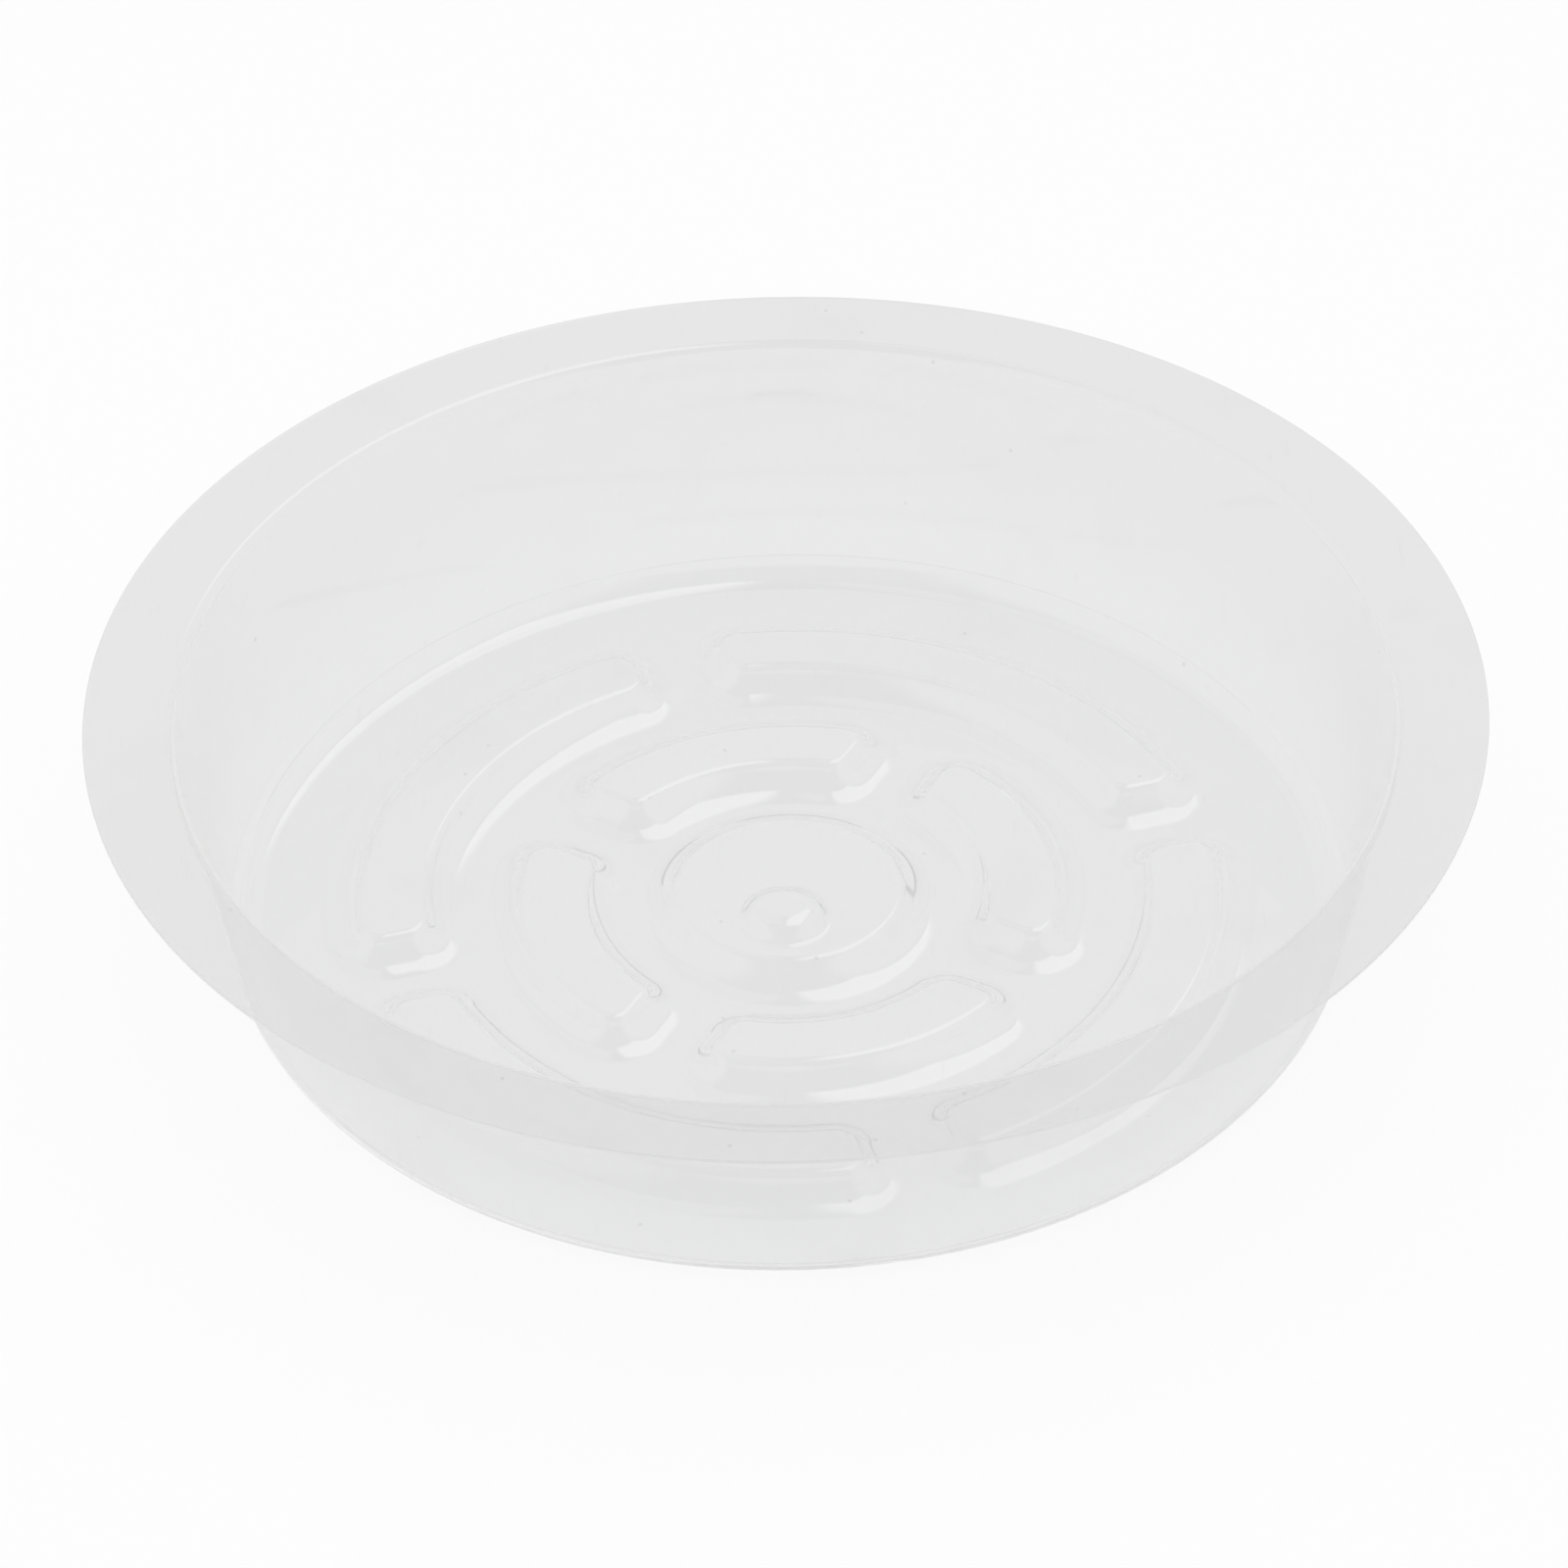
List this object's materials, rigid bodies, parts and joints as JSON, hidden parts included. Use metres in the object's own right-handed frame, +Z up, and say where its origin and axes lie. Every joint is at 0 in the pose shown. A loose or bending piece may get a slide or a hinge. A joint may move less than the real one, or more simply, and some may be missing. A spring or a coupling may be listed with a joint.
{
  "type": "plant saucer",
  "caption": "Round clear saucer with a drafted wall, a flat flange and hollow curved ribs in its floor; stands under a flower pot and catches the water that drains from it.",
  "frame": {"origin": "middle of the floor's underside, on the surface that the saucer stands on", "axes": "+Z up out of the mouth, along the saucer's axis; -Y towards the viewer of the picture and +X to the viewer's right"},
  "size_m": [0.1746, 0.1746, 0.034],
  "materials": {
    "clear_sheet": "clear gloss sheet with fine scuffs"
  },
  "bodies": {
    "root": {"saucer": "clear_sheet"}
  },
  "joints": []
}
